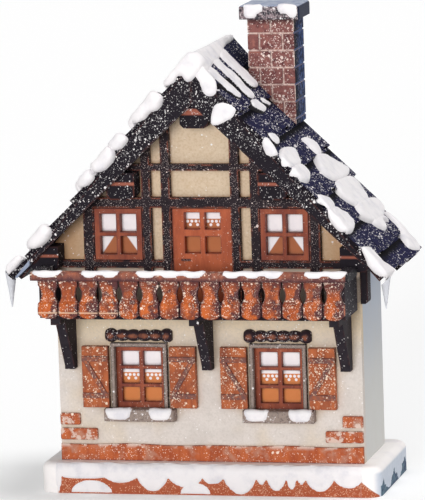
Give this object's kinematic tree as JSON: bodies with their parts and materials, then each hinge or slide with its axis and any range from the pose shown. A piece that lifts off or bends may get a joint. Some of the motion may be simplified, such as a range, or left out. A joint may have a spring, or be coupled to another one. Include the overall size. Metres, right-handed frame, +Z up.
{
  "type": "village house light",
  "caption": "Snowy half-timbered house cut from painted boards, with a fretted balcony, shingled roof and chimney, lit from inside by a battery lamp in its base.",
  "frame": {"origin": "middle of the outline on the table, under the base board", "axes": "+X to the house's right as seen from the front, +Y from the front to the back, +Z up"},
  "size_m": [0.156, 0.088, 0.1912],
  "materials": {
    "base_paint": "satin snow-white paint over a terracotta foot",
    "wall_paint": "matt off-white paint",
    "side_paint": "matt grey-white paint",
    "gable_paint": "matt warm beige paint with darker edges",
    "timber_paint": "near-black paint with reddish dry-brushed edges",
    "frame_paint": "red-brown paint",
    "upper_pane_print": "printed translucent film, curtains over amber",
    "lower_pane_print": "printed translucent film, curtains over amber",
    "door_paint": "red-brown paint",
    "door_pane_print": "printed translucent film, curtains over amber",
    "stone_paint": "matt grey paint with flecks",
    "lintel_paint": "brown paint with snow flecks",
    "brick_paint": "terracotta paint with flecks",
    "railing_stain": "orange-brown stain with charred edges",
    "handrail_paint": "near-black paint with snow",
    "bracket_stain": "dark brown stain",
    "shutter_stain": "orange-brown stain with charred edges",
    "roof_under_paint": "dark grey paint",
    "shingle_paint": "blue-black paint with white flecks",
    "barge_paint": "near-black paint with white flecks",
    "chimney_paint": "brick-red paint with pale joints",
    "cap_paint": "dark speckled paint",
    "ice_resin": "white resin, glossy",
    "box_plastic": "moulded black plastic",
    "lid_plastic": "moulded black plastic",
    "switch_plastic": "moulded pale plastic",
    "cell_sleeve": "plain printed sleeve",
    "contact_steel": "plated spring steel",
    "screw_steel": "zinc-plated steel",
    "board_laminate": "green laminate",
    "lamp_resin": "clear warm-white resin"
  },
  "bodies": {
    "house": {"back_wall": "side_paint", "balcony_door": "door_paint", "balcony_door_pane": "door_pane_print", "balcony_end_left": "railing_stain", "balcony_end_right": "railing_stain", "balcony_floor": "timber_paint", "balcony_handrail": "handrail_paint", "balcony_railing": "railing_stain", "bargeboard_left": "barge_paint", "bargeboard_right": "barge_paint", "base_plate": "base_paint", "battery_box": "box_plastic", "battery_cells": "cell_sleeve", "battery_contacts": "contact_steel", "box_screws": "screw_steel", "bracket_left": "bracket_stain", "bracket_middle": "bracket_stain", "bracket_right": "bracket_stain", "brick_relief": "brick_paint", "chimney_cap": "cap_paint", "chimney_stack": "chimney_paint", "corner_posts": "timber_paint", "eave_purlin_left": "timber_paint", "eave_purlin_right": "timber_paint", "front_wall": "wall_paint", "gable_panel": "gable_paint", "icicles": "ice_resin", "lamp": "lamp_resin", "lamp_board": "board_laminate", "lower_window_frame_left": "frame_paint", "lower_window_frame_right": "frame_paint", "lower_window_panes": "lower_pane_print", "purlin_end_left": "timber_paint", "purlin_end_right": "timber_paint", "purlin_end_top": "timber_paint", "roof_board_left": "roof_under_paint", "roof_board_right": "roof_under_paint", "shingle_rows_left": "shingle_paint", "shingle_rows_right": "shingle_paint", "shutter_left_inner": "shutter_stain", "shutter_left_outer": "shutter_stain", "shutter_right_inner": "shutter_stain", "shutter_right_outer": "shutter_stain", "side_wall_left": "side_paint", "side_wall_right": "side_paint", "timber_frame": "timber_paint", "upper_window_frame_left": "frame_paint", "upper_window_frame_right": "frame_paint", "upper_window_panes": "upper_pane_print", "window_lintel_left": "lintel_paint", "window_lintel_right": "lintel_paint", "window_sill_left": "stone_paint", "window_sill_right": "stone_paint", "window_surround_left": "stone_paint", "window_surround_right": "stone_paint"},
    "battery_lid": {"battery_lid": "lid_plastic"},
    "switch_slider": {"switch_slider": "switch_plastic"}
  },
  "joints": [
    {"name": "battery_lid_slide", "type": "slide", "parent": "house", "child": "battery_lid", "axis": [1, 0, 0], "range_m": [0, 0.008]},
    {"name": "switch_slide", "type": "slide", "parent": "house", "child": "switch_slider", "axis": [0, 1, 0], "range_m": [0, 0.003]}
  ]
}
